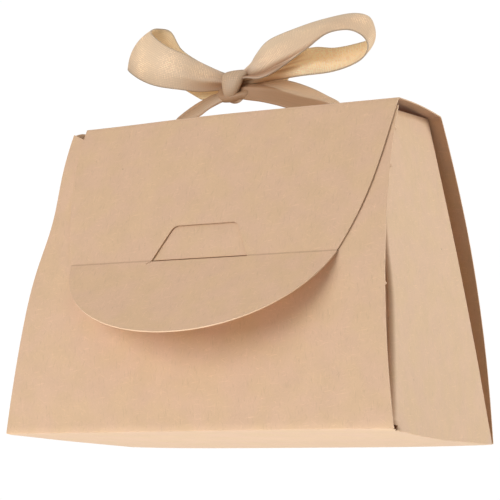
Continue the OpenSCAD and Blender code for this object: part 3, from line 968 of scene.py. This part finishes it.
def through(points, t):
    """A smooth curve through points, at shares t of its length."""
    p = np.asarray(points, float)
    n = len(p) - 1
    i = np.minimum(np.floor(t * n).astype(int), n - 1)
    u = (t * n - i)[:, None]
    a, b, c, d = p[np.maximum(i - 1, 0)], p[i], p[i + 1], p[np.minimum(i + 2, n)]
    return b + ((c - a) * u + (2 * a - 5 * b + 4 * c - d) * u ** 2 + (3 * b - 3 * c + d - a) * u ** 3) / 2


def surface_normals(grid):
    normal = np.cross(np.gradient(grid, axis=0), np.gradient(grid, axis=1))
    return normal / np.maximum(np.linalg.norm(normal, axis=2), 1e-9)[:, :, None]


def strip_faces(rows, columns):
    """The faces of a closed strip with two layers of points: material 0 outside, 1 inside, 2 at the edges."""
    m, n = columns + 1, (rows + 1) * (columns + 1)
    faces, index = [], []
    for i in range(rows):
        for j in range(columns):
            k = i * m + j
            faces += [[k, k + m, k + m + 1, k + 1], [n + k, n + k + 1, n + k + m + 1, n + k + m]]
            index += [0, 1]
    for k in range(0, rows * m, m):
        a, b = k + columns, k + columns + m
        faces += [[k, n + k, n + k + m, k + m], [a, b, n + b, n + a]]
    for j in range(columns):
        k = rows * m + j
        faces += [[j, j + 1, n + j + 1, n + j], [k, n + k, n + k + 1, k + 1]]
    return faces, index + [2] * (len(faces) - len(index))


def ribbon_strip(name, near, far, lift, materials, rows=150, columns=28, fold=None, tone=None):
    """A ribbon between two edge curves in mm, raised off the straight line between them by lift(t, w).

    A fold is its cross-section as (share of the way across, mm above) points from edge to edge, and the last
    argument is a function of (t, w) that gives 1 where the ribbon shows its full colour, less where shade is
    painted on it and more where a highlight is painted.
    """
    t = np.linspace(0, 1, rows + 1)
    w = np.linspace(0, 1, columns + 1)
    a, b = (through(edge, t)[:, None, :] for edge in (near, far))
    across, above = (w, 0 * w) if fold is None else through(fold, w).T
    flat, grid = (a * (1 - k)[None, :, None] + b * k[None, :, None] for k in (w, across))
    rise = np.broadcast_to(lift(t[:, None], w[None, :]), (rows + 1, columns + 1)) + above[None, :]
    grid = grid + surface_normals(flat) * rise[:, :, None]
    half = RIBBON_T / 2 * (1 + 0.35 * (hill(w, 0, 0.035) + hill(w, 1, 0.035)))
    step = surface_normals(grid) * half[None, :, None]
    points = np.vstack([layer.reshape(-1, 3) for layer in (grid + step, grid - step)])
    place = np.zeros((2, rows + 1, columns + 1, 3))
    place[..., 0] = w * RIBBON_W
    place[..., 1] = lengths(grid[:, columns // 2])[:, None]
    place[1, ..., 2] = WEAVE_MARK
    # Per-point painted light: below 1 painted shade, above 1 painted highlight
    tones = 1.0 if tone is None else tone(t[:, None], w[None, :])
    tones = np.clip(np.broadcast_to(tones, (2, rows + 1, columns + 1)), 0, 1.4)
    return mesh_object(name, points, *strip_faces(rows, columns), materials, weave=place.reshape(-1, 3),
                       tone=tones.ravel())


# Stations in mm along the two edges of each piece, given from the knot outward
LEFT_LOOP = (
    [(-7.4, -0.6, 105.6), (-10.5, -2, 107.4), (-14.9, -4, 109.7), (-20.2, -6, 112.7), (-26.2, -7, 115.7),
     (-31.3, -6, 119.5), (-33.5, -3.5, 122), (-32.8, -0.5, 123.1), (-29.8, 1.5, 122.3), (-26.6, 2.5, 116.9),
     (-20.2, 2, 112.5), (-11.9, 0.5, 108.2), (-8, 0.5, 106.8)],
    [(-7.4, -1.2, 102.2), (-10.8, -2.5, 102.3), (-16.1, -4.5, 101.7), (-22, -6, 102.4),
     (-29.3, -6.5, 103.9), (-35.9, -5, 106.7), (-42.2, -2, 110.8), (-43.2, 1.5, 112.7), (-38.4, 4, 111.4),
     (-29.9, 4.5, 108.2), (-20.5, 3.2, 104.6), (-13.1, 1.5, 103.6), (-8, 1, 103.2)])
RIGHT_LOOP = (
    [(-5, -1.4, 103.6), (-1.3, -3, 104), (4.4, -5, 103.2), (12, -6.8, 105.4), (19.2, -7.8, 109.4),
     (25.8, -8, 113.5), (32.6, -7.6, 114.4), (37, -7, 112.6), (38.9, -6.5, 109.6), (37.5, -6, 106.6),
     (33.5, -6, 104.6), (26.9, -6, 103.4), (17.2, -5.5, 103.3), (6.2, -3, 103.5), (-1.5, -0.8, 103.6),
     (-5, 0, 103.8)],
    [(-5, -0.6, 106.6), (-3, -0.5, 108.1), (-0.6, 1, 112.7), (3.5, 2, 116.6), (13, 2.5, 119.5),
     (20.6, 3.5, 121.3), (29, 3.8, 122.1), (34.1, 4, 120.8), (35.8, 4.6, 117.6), (34.9, 5, 114.5),
     (30.3, 4.8, 113.2), (23.4, 4.5, 112.5), (16.2, 3.5, 113), (6.3, 3, 109.9), (-1.5, 2, 107.6),
     (-5, 1.2, 106.6)])
LEFT_STRAND = (
    [(-7.8, 0.4, 102.6), (-13.2, 0, 101.8), (-17.9, 0.5, 100.3), (-22.6, 1, 98.3), (-27.4, 1, 95.2),
     (-27.9, 0.4, 92.4), (-27.8, 0, 91.6)],
    [(-7.8, -1.6, 99.4), (-10.9, -2, 98), (-13.9, -2.5, 96.4), (-17, -2.4, 94.6), (-21.4, -1.9, 93.3),
     (-25, -0.6, 92.5), (-25.2, 0, 91.6)])
RIGHT_STRAND = (
    [(-5, -1.2, 99.6), (-1.4, -2.4, 98.6), (3.6, -3.5, 97.4), (9, -3.9, 95.8), (14.5, -3.9, 94),
     (20.1, -3.1, 93.2), (24, -1.6, 92.8), (25.2, -0.4, 92.3), (25.2, 0, 91.6)],
    [(-5, 0.8, 104.8), (-1, 1.5, 105.1), (4, 2.2, 104.8), (10, 3, 103.7), (16.2, 3.5, 101.3),
     (21.8, 3, 98.3), (26.4, 1.6, 95.6), (27.9, 0.4, 92.6), (27.8, 0, 91.6)])
LEFT_TAIL = (
    [(-7.4, 1, 104.8), (-14.2, 3.5, 105.4), (-22, 4.8, 106.3), (-30.1, 5.2, 107.2)],
    [(-7.4, 1, 101.4), (-14.1, 3.5, 100.7), (-17.4, 4.2, 100.9), (-20.7, 4.7, 101.4)])
RIGHT_TAIL = (
    [(-5, 1.4, 103.6), (0, 3.2, 103.6), (4, 4.6, 103.8), (7.4, 5.2, 104.1)],
    [(-5, 1.4, 106), (0, 3.2, 109.4), (5.6, 4.6, 112.2), (11.2, 5.4, 113.8)])
WRAP = (
    [(-11.2, 1.6, 100.2), (-11.4, -0.4, 99.4), (-9.8, -1.7, 98.6), (-6.8, -2.2, 98.4), (-3.4, -2, 99),
     (-1.3, -1, 98.9), (-1.4, 1.6, 99.6)],
    [(-10.6, 1.8, 103.4), (-10.9, -0.7, 103), (-9.4, -1.7, 101.4), (-6.4, -2, 100.8), (-3, -1.7, 101.2),
     (-1.5, -1, 102.4), (-1.6, 1.8, 103.2)])


def knot_stations():
    """The knot's band: once round the gathered ribbon, wide at the top and drawn in below."""
    near, far = [], []
    for i in range(17):
        a = math.pi + TURN * i / 16
        front, up = math.cos(a), math.sin(a)
        half = 2.4 + 1.4 * up + 0.3 * front
        mid = -6.4 + 0.7 * up
        y = -3.7 * math.copysign(abs(front) ** 0.7, front)
        z = 102.7 + (4.6 if up > 0 else 4.1) * math.copysign(abs(up) ** 0.85, up)
        near.append((mid - half, y, z))
        far.append((mid + half, y, z))
    return far, near


# Lifts: how far in mm a piece stands off the line between its edges, t along it and w across

def left_loop_lift(t, w):
    w = 1 - w
    round_end = 1.9 * hill(t, 0.5, 0.16) * arch(w)
    belly = 0.5 * hill(t, 0.25, 0.15) * arch(w)
    tuck = -2.0 * np.maximum(0.36 - w, 0) / 0.36 * ramp(t, 0.34, 0.06)
    waves = 0.32 * np.cos(TURN * 2.2 * w + 0.6) * ramp(t, 0.3, 0.08)
    back = 0.5 * np.cos(TURN * 1.7 * w) * ramp(t, 0.7, 0.95)
    return round_end + belly + tuck + waves + back


def right_loop_lift(t, w):
    round_end = hill(t, 0.53, 0.14) * arch(w)
    belly = 0.7 * hill(t, 0.25, 0.15) * arch(w)
    tuck = np.cos(TURN * 1.5 * w) * ramp(t, 0.22, 0.03)
    inside = 0.55 * hill(t, 0.78, 0.14) * np.cos(TURN * (1.2 * w + 0.1))
    inside = inside + 0.4 * ramp(t, 0.78, 0.9) * np.cos(TURN * 2.5 * w)
    return round_end + belly + tuck + inside - 1.5 * hem(t, w) + 0.6 * second_hem(t, w)


def pleat(t, w, place, along, reach, wider, fade):
    """A fold that runs out from the knot beside the right loop's near edge and meets it further on."""
    share = hill(w, place * ramp(t, along, 0.08), reach + wider * ramp(t, 0.26, 0.06))
    return share * ramp(t, 0.0, 0.05) * ramp(t, *fade)


def hem(t, w):
    return pleat(t, w, 0.34, 0.36, 0.04, 0.05, (0.36, 0.2))


def second_hem(t, w):
    return pleat(t, w, 0.14, 0.28, 0.035, 0.03, (0.26, 0.18))


def strand_lift(t, w):
    return 0.5 * np.sin(math.pi * np.clip(t * 1.1, 0, 1)) * np.sin(math.pi * w)


def tail_lift(t, w):
    return 0.3 * np.sin(math.pi * w) * t


def knot_lift(t, w):
    return 0.1 * np.sin(9 * w + TURN * t)


def wrap_lift(t, w):
    return 0.5 * arch(w) + 0.15 * np.cos(14 * w)


# Painted light of the ribbon pieces: 1 at full colour, less where shade is painted in gathers, folds and
# crevices, more where a highlight is painted

def left_loop_tone(t, w):
    # Painted shade at both ends by the knot, in the lower fold and toward the far end; painted highlights in
    # three lit patches
    knot = 1 - 0.35 * ramp(t, 0.16, 0.02) - 0.25 * ramp(t, 0.86, 0.99)
    fold = 0.45 * ramp(w, 0.58, 0.68) * ramp(t, 0.3, 0.1)
    lit = 0.26 * (hill(t, 0.16, 0.07) * hill(w, 0.35, 0.25) + hill(t, 0.3, 0.05) * hill(w, 0.4, 0.4)
                  + hill(t, 0.42, 0.04) * hill(w, 0.7, 0.25))
    return knot + lit - fold - 0.14 * ramp(t, 0.52, 0.6)


def right_loop_tone(t, w):
    # Painted shade in the gathers by the knot and in dark lines along the pleats; painted highlights in three
    # lit patches
    gathered = ramp(t, 0.78, 0.86) * (0.8 + 0.35 * np.cos(TURN * 3.5 * w))
    tuck_shade = 1.3 * hem(t, w) + 1.1 * second_hem(t, w) + 0.9 * hill(w, 0.55, 0.06) * ramp(t, 0.12, 0.06)
    lit = 0.36 * (hill(t, 0.17, 0.06) * hill(w, 0.42, 0.25) + 0.8 * hill(t, 0.44, 0.05) * hill(w, 0.6, 0.3)
                  + hill(t, 0.71, 0.11) * hill(w, 0.5, 0.45))
    return 1 + lit - 0.45 * ramp(t, 0.09, 0.01) - gathered - tuck_shade


def left_strand_tone(t, w):
    # Painted shade over the whole strand, a little lighter in a band near its far edge
    return 0.36 + 0.4 * hill(w, 0.8, 0.1)


def right_strand_tone(t, w):
    # Painted shade on the lower part that faces down; painted highlight on the upper part, less near the knot
    border = 0.6 + 0.3 * ramp(t, 0.42, 0.1)
    upper = np.clip((w - border) / 0.045, 0, 1)
    return 0.1 + 1.05 * upper - 0.4 * ramp(t, 0.15, 0.0) * upper


def tail_tone(t, w):
    # Painted shade, lightest at the far edge
    return 0.72 + 0.2 * w


def knot_tone(t, w):
    # Painted shade over the knot, darkest at its edges and along a line across it
    return 0.74 - 0.35 * hill(w, 0.0, 0.08) - 0.45 * hill(w, 1.0, 0.12) - 0.5 * hill(t, 0.74, 0.05)


def wrap_tone(t, w):
    # Painted shade, deep over the wrap, a little lighter in a band and darker toward its far edge
    return 0.05 + 0.4 * hill(w, 0.35, 0.14) - 0.3 * ramp(w, 0.7, 0.95)


# Cross-sections of the gathered ribbon, from edge to edge
STRAND_FOLD = [
    (0.62, -1.25), (0.3, -1.3), (0.04, -1.1), (0.0, -0.75), (0.08, -0.45), (0.4, -0.35), (0.75, -0.35),
    (0.97, -0.25), (1.02, 0.1), (0.93, 0.5), (0.68, 0.75), (0.4, 0.6),
]
TAIL_FOLD = [
    (0.7, -1.0), (0.4, -1.05), (0.1, -0.9), (-0.02, -0.5), (0.05, 0), (0.3, 0.3), (0.65, 0.2), (1.0, 0.0),
]
LOOSE_FOLD = [
    (0.55, -1.0), (0.25, -1.0), (0.02, -0.75), (-0.02, -0.3), (0.1, 0.1), (0.3, 0.8), (0.42, 1.25),
    (0.56, 0.7), (0.8, 0.35), (1.0, 0.0),
]
KNOT_FOLD = [
    (0.42, -1.7), (0.12, -1.45), (-0.03, -0.95), (-0.02, -0.35), (0.12, 0.1), (0.34, 0.28), (0.62, 0.3),
    (0.88, 0.12), (1.02, -0.35), (1.03, -0.95), (0.88, -1.45), (0.58, -1.7),
]
WRAP_FOLD = [
    (0.5, -1.6), (0.15, -1.3), (-0.03, -0.8), (0.0, -0.2), (0.3, 0.3), (0.62, 0.3), (0.95, -0.1),
    (1.02, -0.8), (0.85, -1.3), (0.5, -1.6),
]


# Putting the pieces together

def put(o, slot, body, *nodes):
    """Names the body that a piece rides and the CAD nodes that it stands for; its material slot is not used.
    """
    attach(o, body)
    if nodes:
        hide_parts(*nodes)


def full_width(half):
    """The outline of a crease over a whole width, as a function of its two places along the section."""
    return lambda s0, s1: [both_sides([(half, s0), (half, s1)])]


def beside_tongue(s0, s1):
    """The outlines of the score line on the two sides of the tongue's root."""
    root = TONGUE_W / 2 + DIE_GAP + 0.05
    ends = ((-FLAP_SCORE_W / 2, WINDOW_SHIFT - root), (WINDOW_SHIFT + root, FLAP_SCORE_W / 2))
    return [[(a, s0), (b, s0), (b, s1), (a, s1)] for a, b in ends]


def make_card():
    card = kraft_material("kraft_card", (0.655, 0.430, 0.268))
    edge = kraft_material("kraft_cut_edge", (0.69, 0.475, 0.31))
    # A darker copy of the card for the score line's crease: painted shade of the groove pressed into it
    score = kraft_material("kraft_score_painted_shade", (0.53, 0.34, 0.21))

    def panel(name, loops, body, node, shape=strip_shape, **more):
        o = card_piece(name, loops, shape, (card, edge), **more)
        round_rims(o)
        put(o, "kraft_card", body, node)

    def crease(name, outline, before, after, faces=(card, edge)):
        s0, s1 = before[1], after[0]
        o = card_piece(name, outline(s0, s1), strip_shape, faces, step_v=0.1)
        a, b = STRIP.at([s0, s1]) * MM
        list(a)
        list(b)
        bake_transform(o)

    panel("front_card", [front_outline(), slit_outline()], "box", "front_panel")
    panel("back_card", [back_outline()], "box", "back_panel")
    panel("base_card", [base_outline()], "box", "base_panel")
    panel("lid_card", lid_outlines(), "lid", "lid_panel")
    panel("flap_card", [flap_outline()], "flap", "flap_panel")
    panel("tip_card", [tip_outline()], "flap_tip", "tip_panel")
    panel("tongue_card", [both_sides(tongue_half(0))], "flap_tip", "lock_tongue", tongue_shape, step_u=3)
    for hand, side in ((-1, "left"), (1, "right")):
        put(side_card(f"{side}_side_card", hand, (card, edge)), "kraft_card", "box", f"{side}_side_panel")
        panel(f"{side}_front_tab_card", [tab_outline(FLAP_FOOT, FLAP_HEAD, FOLD_LOW, FOLD_HIGH)], "box",
              f"{side}_front_tab", tab_shape(FLAP_FOOT, FLAP_HEAD, SKIN, hand, 1))
        panel(f"{side}_back_tab_card", [tab_outline(BACK_FOOT, BACK_HEAD, FOLD_R, FOLD_R)], "box",
              f"{side}_back_tab", tab_shape(BACK_FOOT, BACK_HEAD, 0, hand, -1))
    crease("score_crease", beside_tongue, TIP, FLAP, (score, score))
    crease("flap_crease", full_width(FLAP_TOP_W / 2), FLAP, LID)
    crease("lid_crease", full_width(PANEL_TOP_W / 2), LID, BACK)


def make_ribbon():
    satin = ribbon_material("satin", (0.80, 0.645, 0.51), (0.90, 0.80, 0.66), 0.5, 0.60)
    # A lit copy of the satin for inner faces and tails: brighter and more golden, painted light that stands
    # for light through the cloth and bounced inside the loops
    painted_lit_satin = ribbon_material("satin_inside_painted_light", (0.98, 0.85, 0.62), (0.99, 0.89, 0.69), 0.6, 0.9)
    # A shaded copy of the satin for the knot, wrap and strands: warmer and less translucent, painted warm
    # shade of their bounced light
    painted_shade_satin = ribbon_material("satin_tied_painted_shade", (0.79, 0.61, 0.43), (0.92, 0.79, 0.60), 0.38, 0.5)
    loop, strand, tail, wrap = (satin, painted_lit_satin, satin), (painted_shade_satin, painted_shade_satin, satin), (painted_lit_satin, painted_lit_satin, satin), (painted_shade_satin,) * 3

    def tie(name, nodes, near, far, length, rests_on, faces, lift, held="gathered", cut=1.0, **more):
        """A ribbon piece; the flat length in mm that it lies over and the share cut of that area are not
        used.
        """
        o = ribbon_strip(name, near, far, lift, faces, **more)
        put(o, "satin_ribbon", "lid", *nodes)

    tie("bow_left_loop_ribbon", ["bow_left_loop"], *LEFT_LOOP, 66, "bow_knot", loop, left_loop_lift,
        tone=left_loop_tone)
    tie("bow_right_loop_ribbon", ["bow_right_loop"], *RIGHT_LOOP, 90, "bow_knot", loop, right_loop_lift,
        columns=56, tone=right_loop_tone)
    tie("left_strand_ribbon", ["ribbon_left_strand"], *LEFT_STRAND, 24, "lid_panel", strand, strand_lift,
        fold=STRAND_FOLD, columns=60, tone=left_strand_tone)
    tie("right_strand_ribbon", ["ribbon_right_strand"], *RIGHT_STRAND, 36, "lid_panel", strand, strand_lift,
        fold=LOOSE_FOLD, columns=48, tone=right_strand_tone)
    tie("left_tail_ribbon", ["bow_left_tail"], *LEFT_TAIL, 24, "bow_knot", tail, tail_lift, cut=0.7,
        fold=TAIL_FOLD, tone=tail_tone)
    tie("right_tail_ribbon", ["bow_right_tail"], *RIGHT_TAIL, 20, "bow_knot", tail, tail_lift, cut=0.8,
        fold=TAIL_FOLD, tone=tail_tone)
    tie("knot_ribbon", ["bow_knot"], *knot_stations(), 26, "ribbon_left_strand", strand, knot_lift,
        fold=KNOT_FOLD, columns=48, tone=knot_tone)
    tie("knot_wrap_ribbon", [], *WRAP, 16, "bow_knot", wrap, wrap_lift, fold=WRAP_FOLD, columns=48,
        tone=wrap_tone)
    run = HOLE_SPAN / 2 + UNDER_END
    under = [[(x, y, UNDER_LID) for x in (-run, 0, run)] for y in (-RIBBON_W / 2, RIBBON_W / 2)]
    tie("under_lid_ribbon", ["ribbon_under_lid"], *under, 2 * run, "lid_panel", loop, lambda t, w: 0,
        "stretched")


make_camera()
make_world()
make_lights()
make_floor()
make_card()
make_ribbon()
